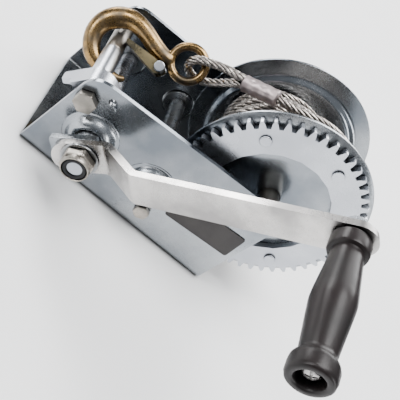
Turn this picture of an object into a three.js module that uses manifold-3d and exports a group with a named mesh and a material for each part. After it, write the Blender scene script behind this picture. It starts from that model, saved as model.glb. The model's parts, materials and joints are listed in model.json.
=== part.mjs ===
// Hand winch for a boat trailer: a bent steel channel carries a crank shaft, a layshaft and a
// rope drum, geared down in two steps. Millimetres, +Z up, +X from the crank end to the drum end,
// -Y towards the crank. The origin is on the underside of the base, midway along the channel.
import * as THREE from 'three';
import { mergeVertices } from 'three/addons/utils/BufferGeometryUtils.js';
import Module from 'manifold-3d';

const wasm = await Module();
wasm.setup();

// ---- driving dimensions -------------------------------------------------------------------
const channelLength = 158;
const channelWidth = 99;
const sheet = 3;
const crankEndHeight = 74.2;
const drumEndHeight = 90;
const gap = 0.3;

const moduleSize = 2.5;
const crankTeeth = 14;
const wheelTeeth = 25;
const layTeeth = 12;
const drumTeeth = 50;
const gearAngle = THREE.MathUtils.degToRad(33.6);

const shaftRadius = 6;
const shaftBore = shaftRadius + 0.3;
const axleRadius = 5;
const nearFace = -channelWidth / 2;
const nearInside = nearFace + sheet;
const farFace = channelWidth / 2;
const farInside = farFace - sheet;

const crankAxis = new THREE.Vector3(-48.7, 0, 37.5);
const layDistance = (moduleSize * (crankTeeth + wheelTeeth)) / 2;
const layAxis = crankAxis.clone().add(new THREE.Vector3(layDistance, 0, 0));
const drumDistance = (moduleSize * (layTeeth + drumTeeth)) / 2;
const drumAxis = layAxis.clone().add(
  new THREE.Vector3(drumDistance * Math.cos(gearAngle), 0, drumDistance * Math.sin(gearAngle)),
);
const pawlAxis = new THREE.Vector3(-67.1, 0, 57.3);
const stopAxis = new THREE.Vector3(10.8, 0, 18.4);
const springHole = new THREE.Vector3(-55.3, 0, 67.9);

// ---- finishes -----------------------------------------------------------------------------
function finish(color, roughness, metalness) {
  return new THREE.MeshStandardMaterial({ color, roughness, metalness });
}
const brightZinc = finish(0xb4bcc4, 0.35, 1);
const yellowZinc = finish(0xb0904e, 0.35, 1);
const turnedSteel = finish(0x9a9c9e, 0.4, 1);
const blackPlastic = finish(0x2b292a, 0.45, 0);
const nylon = finish(0x15151a, 0.5, 0);
const ropeSteel = finish(0x8d8a86, 0.4, 1);
const aluminium = finish(0xb9b4b4, 0.45, 1);
const darkLabel = finish(0x4c4a4c, 0.6, 0);

// ---- helpers ------------------------------------------------------------------------------
// Welds a geometry to its positions alone and turns its faces outwards.
function welded(geometry) {
  const bare = geometry.clone();
  bare.deleteAttribute('normal');
  bare.deleteAttribute('uv');
  const joined = mergeVertices(bare, 1e-4);
  const place = joined.attributes.position;
  const index = joined.index.array;
  const kept = [];
  let volume = 0;
  const [a, b, c] = [new THREE.Vector3(), new THREE.Vector3(), new THREE.Vector3()];
  for (let i = 0; i < index.length; i += 3) {
    const [p, q, r] = [index[i], index[i + 1], index[i + 2]];
    if (p === q || q === r || r === p) continue;
    kept.push(p, q, r);
    a.fromBufferAttribute(place, p);
    b.fromBufferAttribute(place, q);
    c.fromBufferAttribute(place, r);
    volume += a.dot(b.cross(c));
  }
  if (volume < 0) kept.reverse();
  joined.setIndex(kept);
  return joined;
}

function toSolid(geometry) {
  const closed = welded(geometry);
  return new wasm.Manifold(new wasm.Mesh({
    numProp: 3,
    vertProperties: new Float32Array(closed.attributes.position.array),
    triVerts: new Uint32Array(closed.index.array),
  }));
}

function toGeometry(solid) {
  const shape = solid.getMesh();
  const geometry = new THREE.BufferGeometry();
  geometry.setAttribute('position', new THREE.BufferAttribute(shape.vertProperties, 3));
  geometry.setIndex(new THREE.BufferAttribute(shape.triVerts, 1));
  return geometry;
}

function cut(geometry, ...tools) {
  return toGeometry(tools.reduce((solid, tool) => solid.subtract(toSolid(tool)), toSolid(geometry)));
}

function join(geometry, ...others) {
  return toGeometry(others.reduce((solid, other) => solid.add(toSolid(other)), toSolid(geometry)));
}

function common(geometry, other) {
  return toGeometry(toSolid(geometry).intersect(toSolid(other)));
}

// A closed (radius, y) outline turned about the Y axis.
function turned(outline, segments = 20) {
  const points = outline.map(([radius, y]) => new THREE.Vector2(radius, y));
  points.push(points[0].clone());
  return welded(new THREE.LatheGeometry(points, segments));
}

function rod(radius, low, high, segments = 20) {
  const cylinder = new THREE.CylinderGeometry(radius, radius, high - low, segments);
  return welded(cylinder.translate(0, (low + high) / 2, 0));
}

function tube(inner, outer, low, high, segments = 20) {
  return turned([[inner, low], [outer, low], [outer, high], [inner, high]], segments);
}

// A flat outline in X and Z, given thickness from one Y to another.
function plate(shape, low, high, curveSegments = 8) {
  const options = { depth: high - low, bevelEnabled: false, curveSegments };
  return new THREE.ExtrudeGeometry(shape, options).rotateX(Math.PI / 2).translate(0, high, 0);
}

function disc(radius, x = 0, z = 0) {
  return new THREE.Shape().absarc(x, z, radius, 0, 2 * Math.PI);
}

// A polygon whose corners are rounded, each by its own radius.
function roundedPolygon(corners) {
  const shape = new THREE.Shape();
  corners.forEach(([x, z, radius], i) => {
    const corner = new THREE.Vector2(x, z);
    const before = new THREE.Vector2(...corners.at(i - 1).slice(0, 2));
    const after = new THREE.Vector2(...corners[(i + 1) % corners.length].slice(0, 2));
    const start = before.sub(corner).setLength(radius).add(corner);
    const end = after.sub(corner).setLength(radius).add(corner);
    if (i === 0) shape.moveTo(start.x, start.y);
    else shape.lineTo(start.x, start.y);
    if (radius > 0) shape.quadraticCurveTo(corner.x, corner.y, end.x, end.y);
  });
  shape.closePath();
  return shape;
}

function hexPrism(acrossFlats, low, high) {
  return rod(acrossFlats / Math.sqrt(3), low, high, 6);
}

// A round section of a few sides, carried along a smooth curve through the points.
function sweep(points, radius, steps, sides = 8) {
  const path = new THREE.CatmullRomCurve3(points.map((point) => new THREE.Vector3(...point)));
  const section = new THREE.Shape();
  for (let i = 0; i < sides; i += 1) {
    const angle = (2 * Math.PI * i) / sides;
    const [x, y] = [radius * Math.cos(angle), radius * Math.sin(angle)];
    if (i === 0) section.moveTo(x, y);
    else section.lineTo(x, y);
  }
  section.closePath();
  return welded(new THREE.ExtrudeGeometry(section, { steps, extrudePath: path }));
}

function part(name, geometry, material) {
  const mesh = new THREE.Mesh(geometry, material);
  mesh.name = name;
  return mesh;
}

function assembly(position, ...parts) {
  const group = new THREE.Group();
  group.position.copy(position);
  group.add(...parts);
  return group;
}

// ---- gears --------------------------------------------------------------------------------
// An involute spur gear outline with a tooth centred on the phase angle. The teeth are thinned
// for backlash, and the flanks run straight in below the base circle.
function gearOutline(teeth, phase, bore) {
  const pressure = THREE.MathUtils.degToRad(20);
  const thinning = 0.5;
  const pitchRadius = (moduleSize * teeth) / 2;
  const baseRadius = pitchRadius * Math.cos(pressure);
  const tipRadius = pitchRadius + 0.9 * moduleSize;
  const rootRadius = pitchRadius - 1.25 * moduleSize;
  const flankSteps = 2;
  const involute = (angle) => Math.tan(angle) - angle;
  const halfPitch = Math.PI / (2 * teeth) - thinning / (2 * pitchRadius) + involute(pressure);
  const flankStart = Math.max(baseRadius, rootRadius);
  const flank = [];
  for (let i = 0; i <= flankSteps; i += 1) {
    const radius = flankStart + ((tipRadius - flankStart) * i) / flankSteps;
    flank.push([radius, halfPitch - involute(Math.acos(Math.min(1, baseRadius / radius)))]);
  }
  if (rootRadius < flankStart) flank.unshift([rootRadius, flank[0][1]]);
  const shape = new THREE.Shape();
  for (let tooth = 0; tooth < teeth; tooth += 1) {
    const centre = phase + (2 * Math.PI * tooth) / teeth;
    const rising = flank.map(([radius, half]) => [radius, centre - half]);
    const falling = flank.map(([radius, half]) => [radius, centre + half]).reverse();
    [...rising, ...falling].forEach(([radius, angle], i) => {
      const [x, z] = [radius * Math.cos(angle), radius * Math.sin(angle)];
      if (tooth === 0 && i === 0) shape.moveTo(x, z);
      else shape.lineTo(x, z);
    });
  }
  shape.closePath();
  shape.holes.push(disc(bore));
  return shape;
}

// A saw-tooth wheel: each tooth rises slowly and drops straight back.
function ratchetOutline(teeth, tipRadius, rootRadius, bore) {
  const shape = new THREE.Shape();
  for (let tooth = 0; tooth < teeth; tooth += 1) {
    const angle = (2 * Math.PI * tooth) / teeth;
    const [x, z] = [Math.cos(angle), Math.sin(angle)];
    if (tooth === 0) shape.moveTo(rootRadius * x, rootRadius * z);
    else shape.lineTo(rootRadius * x, rootRadius * z);
    shape.lineTo(tipRadius * x, tipRadius * z);
  }
  shape.closePath();
  shape.holes.push(disc(bore));
  return shape;
}

// ---- frame: one bent and pressed sheet ----------------------------------------------------
const bossRadius = 16.5;
const bossHeight = 6;
const bossMouth = 9.2;
const baseHoleRadius = 5;
const baseHolePlaces = [[-62, 0], [58, -26], [58, 26]];

// The channel's section, with rounded bends, drawn across Y and Z.
function channelSection() {
  const [half, bend, top] = [channelWidth / 2, 5, 120];
  const inner = half - sheet;
  const shape = new THREE.Shape();
  shape.moveTo(-half, top);
  shape.lineTo(-half, bend);
  shape.quadraticCurveTo(-half, 0, -half + bend, 0);
  shape.lineTo(half - bend, 0);
  shape.quadraticCurveTo(half, 0, half, bend);
  shape.lineTo(half, top);
  shape.lineTo(inner, top);
  shape.lineTo(inner, bend);
  shape.quadraticCurveTo(inner, sheet, inner - 2, sheet);
  shape.lineTo(2 - inner, sheet);
  shape.quadraticCurveTo(-inner, sheet, -inner, bend);
  shape.lineTo(-inner, top);
  shape.closePath();
  return shape;
}

function sideOutline() {
  const end = channelLength / 2;
  return roundedPolygon([
    [-end, -1, 0],
    [end, -1, 0],
    [end - 0.5, drumEndHeight, 14],
    [4.6 - end, crankEndHeight, 13],
  ]);
}

// A domed bearing boss pressed outwards, about the Y axis; side is -1 near, +1 far.
function boss(side) {
  const outline = [
    [bossRadius, -sheet], [bossRadius, 0], [13.8, 3.2], [11.8, 5.5], [10, bossHeight],
    [bossMouth, bossHeight], [bossMouth, 3.2], [11.8, 1], [12.6, -sheet],
  ];
  const placed = outline.map(([radius, height]) => [radius, side * (channelWidth / 2 + height)]);
  return turned(placed, 20);
}

function makeFrame() {
  const length = { depth: channelLength + 4, bevelEnabled: false, curveSegments: 4 };
  const channel = new THREE.ExtrudeGeometry(channelSection(), length);
  channel.rotateX(Math.PI / 2).rotateZ(Math.PI / 2).translate(-length.depth / 2, 0, 0);
  let frame = common(channel, plate(sideOutline(), nearFace - 1, farFace + 1));
  const baseHoles = baseHolePlaces.map(([x, y]) => {
    const hole = new THREE.CylinderGeometry(baseHoleRadius, baseHoleRadius, 20, 16);
    return hole.rotateX(Math.PI / 2).translate(x, y, 0);
  });
  frame = cut(frame, ...baseHoles);
  const through = (axis, radius, low, high) => (
    rod(radius, low, high, 16).translate(axis.x, 0, axis.z)
  );
  for (const side of [-1, 1]) {
    const [low, high] = side < 0 ? [nearFace - 1, nearInside + 1] : [farInside - 1, farFace + 1];
    frame = cut(
      frame,
      through(crankAxis, bossRadius - 2.5, low, high),
      through(layAxis, bossRadius - 2.5, low, high),
      through(drumAxis, axleRadius + gap, low, high),
      through(pawlAxis, 4 + gap, low, high),
    );
    frame = join(
      frame,
      boss(side).translate(crankAxis.x, 0, crankAxis.z),
      boss(side).translate(layAxis.x, 0, layAxis.z),
    );
  }
  frame = cut(
    frame,
    through(stopAxis, 3 + gap, nearFace - 1, nearInside + 1),
    through(springHole, 2.6, nearFace - 1, nearInside + 1),
  );
  return part('frame', frame, brightZinc);
}

// A bearing bush held inside a boss; side is -1 near, +1 far.
function makeBush(name, side) {
  const [outer, length] = [11.2, 4.4];
  const ends = [side * (channelWidth / 2 + 0.2), side * (channelWidth / 2 + 0.2 - length)];
  return part(name, tube(shaftRadius + 0.1, outer, Math.min(...ends), Math.max(...ends)), yellowZinc);
}

function makeBolt(name, radius, acrossFlats, headHeight, headFace, end, material = brightZinc) {
  const head = hexPrism(acrossFlats, headFace - headHeight, headFace);
  return part(name, join(head, rod(radius, headFace - 1, end)), material);
}

function makeNut(name, bore, acrossFlats, low, high, material = brightZinc) {
  return part(name, cut(hexPrism(acrossFlats, low, high), rod(bore, low - 1, high + 1)), material);
}

// ---- drum ---------------------------------------------------------------------------------
const gearFront = -37.1;
const gearThickness = 4.6;
const nearFlangeFace = gearFront + gearThickness + gap;
const farFlangeFace = 29.8;
const flangeSheet = 1.8;
const spacerRadius = 7.3;
const barrelRadius = 32.6;
const layerStep = 5.2;
const layerRadius = 54.5;
const gearHole = 41;
const rivetCircle = 50.8;
const rivetCount = 6;
const firstRivet = THREE.MathUtils.degToRad(20);

function rivetPlaces() {
  return Array.from({ length: rivetCount }, (_, i) => {
    const angle = firstRivet + (i * 2 * Math.PI) / rivetCount;
    return [rivetCircle * Math.cos(angle), rivetCircle * Math.sin(angle)];
  });
}

function makeDrumGear() {
  const outline = gearOutline(drumTeeth, gearAngle + Math.PI, gearHole);
  rivetPlaces().forEach(([x, z]) => outline.holes.push(disc(3, x, z)));
  return part('drum_gear', plate(outline, gearFront, gearFront + gearThickness, 10), brightZinc);
}

function makeNearFlange() {
  const face = nearFlangeFace;
  const dished = turned([
    [spacerRadius + gap, face + 2.4], [34, face], [62, face], [67.7, face + 1.4],
    [67.7, face + 1.4 + flangeSheet], [62, face + flangeSheet], [34, face + flangeSheet],
    [spacerRadius + gap, face + 2.4 + flangeSheet],
  ], 40);
  const holes = rivetPlaces().map(([x, z]) => (
    rod(2.6, face - 1, face + 5, 10).translate(x, 0, z)
  ));
  return part('drum_flange_near', cut(dished, ...holes), brightZinc);
}

function makeFarFlange() {
  const face = farFlangeFace;
  const dished = turned([
    [spacerRadius + gap, face], [51.6, face], [55.4, face + 3.4], [66.5, face + 4.2],
    [66.5, face + 4.2 + flangeSheet], [54.8, face + 3.4 + flangeSheet],
    [51, face + flangeSheet], [spacerRadius + gap, face + flangeSheet],
  ], 40);
  return part('drum_flange_far', dished, brightZinc);
}

function makeRivet(name, [x, z]) {
  const [low, high] = [gearFront - 1.6, nearFlangeFace + flangeSheet + 0.2];
  const rivet = join(rod(2.3, low + 0.5, high, 10), rod(4, low, gearFront - gap, 12));
  return part(name, rivet.translate(x, 0, z), brightZinc);
}

// The rope is wound deepest beside the gear, and steps down by a layer at a time to the far flange.
function makeWinding() {
  const low = nearFlangeFace + flangeSheet + 2;
  const layerEnds = [-16.5, -3, 8, 20, farFlangeFace - 0.6];
  const outline = [[barrelRadius + gap, low]];
  let start = low;
  layerEnds.forEach((end, i) => {
    const radius = layerRadius + layerStep * (1 - i);
    outline.push([radius, start], [radius, end]);
    start = end;
  });
  outline.push([barrelRadius + gap, start]);
  return part('rope_winding', turned(outline, 36), ropeSteel);
}

function makeDrumParts() {
  const inside = nearFlangeFace + 2.4 + flangeSheet + gap;
  return [
    makeDrumGear(),
    makeNearFlange(),
    makeFarFlange(),
    part('drum_barrel', tube(
      barrelRadius - 2, barrelRadius, nearFlangeFace + flangeSheet + 0.8, farFlangeFace - gap, 32,
    ), brightZinc),
    part('drum_bush', tube(spacerRadius + gap, 9.6, inside, farFlangeFace - gap), turnedSteel),
    makeWinding(),
    ...rivetPlaces().map((place, i) => makeRivet(`drum_rivet_${i + 1}`, place)),
  ];
}

// ---- layshaft -----------------------------------------------------------------------------
const wheelFace = nearInside + 2.2;
const wheelThickness = 5;

function makeLayParts() {
  const pinionLow = gearFront - 0.4;
  const snapRing = tube(shaftRadius + 0.1, 8.4, farFace + 7, farFace + 8.4);
  return [
    part('lay_shaft', rod(shaftRadius, nearFace - 7.5, farFace + 9.5), turnedSteel),
    part('lay_wheel', plate(
      gearOutline(wheelTeeth, Math.PI, shaftBore), wheelFace, wheelFace + wheelThickness,
    ), brightZinc),
    part('lay_pinion', plate(
      gearOutline(layTeeth, gearAngle + Math.PI / layTeeth, shaftBore),
      pinionLow, nearFlangeFace - 0.2,
    ), turnedSteel),
    part('lay_snap_ring', snapRing, brightZinc),
  ];
}

// ---- crank --------------------------------------------------------------------------------
const armAngle = THREE.MathUtils.degToRad(47);
const armTilt = THREE.MathUtils.degToRad(11.4);
const armWidth = 20.8;
const armThickness = 4.5;
const hubFace = -71.3;
const hubBack = hubFace + armThickness;
const hubNutFace = hubFace - 8.6;
const gripDistance = 159.3;

// The arm's height outwards from the near plate at a distance along it, on its outer face.
function armHeight(distance) {
  return 37.9 + Math.tan(armTilt) * distance;
}

// A flat bar set outwards past the layshaft, then running on at a slant to the grip.
function makeArm() {
  const [hubEnd, bendStart, bendEnd, tip] = [-18, 15, 38, 172];
  const hub = nearFace - hubFace;
  const low = armThickness * 1.02;
  const side = new THREE.Shape([
    [hubEnd, hub], [bendStart, hub], [bendStart + 3, hub + 1.6], [bendEnd - 3, armHeight(bendEnd) - 2.4],
    [bendEnd, armHeight(bendEnd)], [tip, armHeight(tip)], [tip, armHeight(tip) - low],
    [bendEnd + 1.8, armHeight(bendEnd + 1.8) - low], [bendEnd, armHeight(bendEnd) - low - 1.2],
    [bendStart + 6.2, hub - 1.8], [bendStart + 2.2, hub - armThickness], [hubEnd, hub - armThickness],
  ].map(([x, y]) => new THREE.Vector2(x, y)));
  const bar = new THREE.ExtrudeGeometry(side, { depth: armWidth + 2, bevelEnabled: false });
  bar.rotateX(Math.PI).translate(0, nearFace, armWidth / 2 + 1);
  const half = armWidth / 2;
  const endCentre = (gripDistance + 3.2) * Math.cos(armTilt);
  const plan = new THREE.Shape();
  plan.absarc(-7, 0, half, Math.PI / 2, (3 * Math.PI) / 2);
  plan.absarc(endCentre, 0, half, -Math.PI / 2, Math.PI / 2);
  plan.closePath();
  const bored = cut(
    common(bar, plate(plan, -160, nearFace, 16)),
    rod(shaftBore, hubFace - 5, nearFace, 20),
    placeAtGrip(rod(4.2, -12, 12, 16)),
  );
  return part('crank_arm', bored, brightZinc);
}

// Moves a piece built about the Y axis, with y = 0 on the arm's face, to the grip's place.
function placeAtGrip(geometry) {
  return geometry.rotateZ(-armTilt).translate(
    gripDistance * Math.cos(armTilt), nearFace - armHeight(gripDistance * Math.cos(armTilt)), 0,
  );
}

function makeHubPlate() {
  const [back, half] = [-18.7, armWidth / 2];
  const outline = roundedPolygon([[back, -half, 1], [half, -half, 1], [half, half, 1], [back, half, 1]]);
  outline.holes.push(disc(shaftBore));
  return part('hub_plate', plate(outline, hubBack + gap, hubBack + 4.8), brightZinc);
}

// A lock nut: a hexagon with a thin collar that holds a nylon ring.
function makeHubNut() {
  const collar = [
    [0, hubNutFace - 2.4], [9.6, hubNutFace - 2.4], [10.4, hubNutFace + 1], [0, hubNutFace + 1],
  ];
  const nut = join(hexPrism(22, hubNutFace, hubFace - 2), turned(collar));
  const socket = rod(7.6, hubNutFace - 5, hubNutFace - 0.6);
  return part('hub_nut', cut(nut, socket, rod(shaftRadius + 0.1, -90, hubFace)), brightZinc);
}

function makeCrankParts() {
  const ring = tube(shaftRadius + 0.2, 7.4, hubNutFace - 1.6, hubNutFace - 0.8);
  const pinionHigh = wheelFace + wheelThickness + 0.5;
  return [
    part('crank_shaft', rod(shaftRadius, hubNutFace - 1.2, farFace + 9.5), turnedSteel),
    part('crank_pinion', plate(
      gearOutline(crankTeeth, Math.PI / crankTeeth, shaftBore), wheelFace - 0.5, pinionHigh,
    ), turnedSteel),
    part('ratchet_wheel', plate(
      ratchetOutline(12, 16, 12.4, shaftBore), pinionHigh + 0.8, pinionHigh + 9,
    ), brightZinc),
    part('crank_spacer', tube(shaftBore, 8.6, hubBack + 4.8 + gap, nearFace - 0.6), turnedSteel),
    part('crank_snap_ring', tube(shaftRadius + 0.1, 8.4, farFace + 7, farFace + 8.4), brightZinc),
    part('hub_washer', tube(shaftRadius + 0.2, 11.6, hubFace - 1.8, hubFace - gap), brightZinc),
    makeHubNut(),
    part('hub_nut_insert', ring, nylon),
  ];
}

function makeGripBolt() {
  const head = -78.4;
  return part('grip_bolt', placeAtGrip(join(
    rod(4, head - 1, armThickness + 8, 16),
    turned([[0, head], [5, head], [5, head - 2], [3, head - 4.2], [0, head - 4.6]]),
  )), turnedSteel);
}

// Everything that lies along the arm, turned to the angle the crank is parked at.
function makeArmParts() {
  const nut = cut(hexPrism(13, armThickness + gap, armThickness + 6.4), rod(4.1, 0, 14, 16));
  const group = assembly(
    new THREE.Vector3(),
    makeHubPlate(),
    makeArm(),
    makeGripBolt(),
    part('grip_nut', placeAtGrip(nut), brightZinc),
    makeGrip(),
  );
  group.rotation.y = -armAngle;
  return group;
}

// A moulded grip that turns freely on its bolt: a collar at each end and a full waist between.
function makeGrip() {
  const bore = 4.4;
  const outline = [
    [bore, 1], [9.6, 1], [10.7, 2.4], [10.7, 9.6], [9.4, 11], [8.5, 11.6], [8.6, 15], [9.8, 28],
    [11, 43], [10.2, 57], [8.6, 73], [10.9, 76.4], [11.4, 78.5], [11.4, 83], [10.4, 86], [7, 86],
    [6.6, 77.6], [bore, 77.2],
  ];
  const outwards = outline.map(([radius, along]) => [radius, -along]);
  return part('crank_grip', placeAtGrip(turned(outwards, 24)), blackPlastic);
}

// ---- pawl ---------------------------------------------------------------------------------
const pawlFront = -38.2;
const pawlBack = -23.5;
const sleeveEnd = 5.5;

// A bent saddle over its pivot bolt: a thumb flank on one side and the catch on the other.
function makePawl() {
  const arch = roundedPolygon([
    [-16.2, -14.6, 0.6], [-13.4, -15.6, 0.6], [-2.6, 2.4, 3], [4.2, 4.4, 3], [14.6, 0.2, 1.5],
    [16.4, -2.4, 0.6], [19, -0.6, 0.6], [16.4, 3.2, 2], [5.6, 8, 4], [-4.4, 6, 4],
  ]);
  const saddle = plate(arch, pawlFront, pawlBack, 4);
  const sleeve = rod(6.3, pawlFront, sleeveEnd);
  const corner = new THREE.BoxGeometry(14, 16, 10).rotateZ(-0.7).translate(-17.5, pawlFront - 1, -13);
  return part('pawl', cut(join(saddle, sleeve), corner, rod(4.3, -60, 20)), brightZinc);
}

// A wire spring: hooked through the near plate, wound round the pivot bolt, and out to the pawl.
function makePawlSpring() {
  const coil = [];
  const [turns, perTurn, coilRadius] = [1.75, 8, 6];
  for (let i = 0; i <= turns * perTurn; i += 1) {
    const angle = 0.35 - (2 * Math.PI * i) / perTurn;
    const y = nearInside + 1.4 + (1.9 * i) / perTurn;
    coil.push([pawlAxis.x + coilRadius * Math.cos(angle), y, pawlAxis.z + coilRadius * Math.sin(angle)]);
  }
  const hooked = [
    [springHole.x + 4.1, nearFace - 1.4, springHole.z - 2.3],
    [springHole.x + 1.7, nearFace - 1.8, springHole.z - 0.5],
    [springHole.x, nearFace - 0.4, springHole.z],
    [springHole.x, nearInside - 0.6, springHole.z],
    [springHole.x - 1.1, nearInside + 1.1, springHole.z - 1.5],
  ];
  return part('pawl_spring', sweep([...hooked, ...coil], 0.7, 44, 6), brightZinc);
}

// ---- hook and rope ------------------------------------------------------------------------
// The hook's own plane: u runs from the bowl towards the eye, v towards the top of the bowl.
const hookOrigin = new THREE.Vector3(-65.5, 14.5, 59);
const hookU = new THREE.Vector3(0.7002, 0.1697, 0.6935).normalize();
const hookV = new THREE.Vector3(-0.6062, 0.6544, 0.4519).normalize();
const hookThickness = 11;
const hookBevel = 1.8;
const eyeCentre = new THREE.Vector2(45.5, -12.3);
const latchPivot = new THREE.Vector2(26.8, -14.4);

function hookGroup(...parts) {
  const group = assembly(hookOrigin, ...parts);
  const basis = new THREE.Matrix4().makeBasis(hookU, hookV, hookU.clone().cross(hookV));
  group.setRotationFromMatrix(basis);
  return group;
}

// A flat outline given thickness about its own plane, with bevelled edges.
function slab(shape, thickness, bevel = 0, curveSegments = 6, bevelSegments = 1) {
  const points = shape.getPoints(curveSegments);
  const distinct = points.filter((point, i) => point.distanceTo(points.at(i - 1)) > 0.05);
  const options = {
    depth: thickness - 2 * bevel,
    bevelEnabled: bevel > 0,
    bevelThickness: bevel,
    bevelSize: bevel,
    bevelOffset: -bevel,
    bevelSegments,
  };
  const geometry = new THREE.ExtrudeGeometry(new THREE.Shape(distinct), options);
  geometry.translate(0, 0, bevel - thickness / 2);
  return geometry;
}

function makeHook() {
  const bowl = new THREE.Shape();
  const [inner, outer] = [12.6, 24];
  bowl.moveTo(1.5, -22.5);
  bowl.quadraticCurveTo(-8, -25.5, -16, -17.5);
  bowl.absarc(0, 0, outer, (7 * Math.PI) / 6, Math.PI / 5, true);
  bowl.quadraticCurveTo(27, 6, 33.5, -3.5);
  bowl.lineTo(46, 1.4);
  bowl.lineTo(52, -20);
  bowl.lineTo(36, -24);
  bowl.quadraticCurveTo(30.5, -17, 22, -13);
  bowl.quadraticCurveTo(16.5, -8, 14, 2);
  bowl.absarc(0, 0, inner, Math.PI / 16, (7 * Math.PI) / 6, false);
  bowl.quadraticCurveTo(-9, -14.5, 1.5, -17.8);
  bowl.quadraticCurveTo(4, -20.5, 1.5, -22.5);
  const ring = disc(14.3, eyeCentre.x, eyeCentre.y);
  const hole = new THREE.CylinderGeometry(8.4, 8.4, 30, 24).rotateX(Math.PI / 2);
  hole.translate(eyeCentre.x, eyeCentre.y, 0);
  const pivot = new THREE.CylinderGeometry(2.3, 2.3, 30, 12).rotateX(Math.PI / 2);
  pivot.translate(latchPivot.x, latchPivot.y, 0);
  const body = join(slab(bowl, hookThickness, hookBevel), slab(ring, hookThickness, hookBevel, 12));
  return part('hook', cut(body, hole, pivot), yellowZinc);
}

// A folded sheet latch: two cheeks over the shank, joined by a web along the outer edge.
function makeLatch() {
  const outline = roundedPolygon([
    [latchPivot.x + 4.6, latchPivot.y - 1.5, 2.5], [latchPivot.x - 3, latchPivot.y - 5, 2.5],
    [5.6, 1, 1], [6.4, 4.4, 1], [latchPivot.x - 1.5, latchPivot.y + 4.6, 2.5],
  ]);
  const body = slab(outline, 14.2, 0, 3);
  const hollow = new THREE.Shape();
  hollow.moveTo(latchPivot.x + 9, latchPivot.y + 2);
  hollow.lineTo(latchPivot.x + 2, latchPivot.y - 8);
  hollow.lineTo(latchPivot.x - 4, latchPivot.y - 3.4);
  hollow.lineTo(8.4, 1.9);
  hollow.lineTo(2, 12);
  hollow.lineTo(latchPivot.x + 6, latchPivot.y + 12);
  hollow.closePath();
  const pin = new THREE.CylinderGeometry(2.4, 2.4, 30, 12).rotateX(Math.PI / 2);
  pin.translate(latchPivot.x, latchPivot.y, 0);
  return part('hook_latch', cut(body, slab(hollow, 12), pin), yellowZinc);
}

function makeLatchRivet() {
  const along = (geometry) => geometry.rotateX(Math.PI / 2).translate(latchPivot.x, latchPivot.y, 0);
  const shank = new THREE.CylinderGeometry(2, 2, 17, 12);
  const head = new THREE.CylinderGeometry(3.6, 3.6, 1.6, 14).translate(0, 8.3, 0);
  const tail = new THREE.CylinderGeometry(3.6, 3.6, 1.6, 14).translate(0, -8.3, 0);
  return part('latch_rivet', join(along(shank), along(head), along(tail)), brightZinc);
}

const ropeRadius = 3;
// The rope leaves the top of the winding for the ferrule, then goes round the hook's eye and back.
const ferruleStart = new THREE.Vector3(22, -5.5, 123);
const ferruleEnd = new THREE.Vector3(1.8, 2.5, 110);
const loopRoute = [
  [-0.2, 2.2, 112.2], [-3.4, 3.5, 110.2], [-9.7, 6.5, 106.7],
  [-15.9, 8.3, 102.7], [-22.7, 10.1, 97.7], [-26.4, 11.0, 94.2],
  [-27.9, 12.4, 89.4], [-26.6, 14.2, 84.8], [-23.0, 15.8, 81.4],
  [-18.1, 16.7, 80.2], [-13.1, 16.8, 81.5], [-7.1, 14.1, 87.8],
  [0.0, 4.3, 105.3], [3.2, 3.0, 107.4],
];

function leadRoute() {
  const leadRadius = layerRadius + gap + ropeRadius;
  const wrapped = [84, 95.5, 107, 118.6].map((degrees, i) => {
    const angle = THREE.MathUtils.degToRad(degrees);
    const y = -12.6 + 0.4 * i;
    return [drumAxis.x + leadRadius * Math.cos(angle), y, drumAxis.z + leadRadius * Math.sin(angle)];
  });
  return [...wrapped, [29.6, -8.4, 127.2], [22.4, -5.8, 123.3]];
}

function makeFerrule() {
  const along = ferruleEnd.clone().sub(ferruleStart);
  const [radius, endRadius, length] = [5.4, 4.6, along.length()];
  const sleeve = turned([
    [0, 0], [endRadius, 0], [radius, 1], [radius, length - 1], [endRadius, length], [0, length],
  ]);
  const lengthwise = new THREE.Vector3(0, 1, 0);
  sleeve.applyQuaternion(new THREE.Quaternion().setFromUnitVectors(lengthwise, along.normalize()));
  return part('rope_ferrule', sleeve.translate(...ferruleStart), aluminium);
}

// ---- label --------------------------------------------------------------------------------
function makeLabel() {
  const outline = roundedPolygon([[-26.5, -11, 2], [26.5, -11, 2], [26.5, 11, 2], [-26.5, 11, 2]]);
  const label = plate(outline, nearFace - 0.7, nearFace - gap, 3).rotateY(-0.1);
  return part('rating_label', label.translate(47.5, 0, 42), darkLabel);
}

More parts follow.
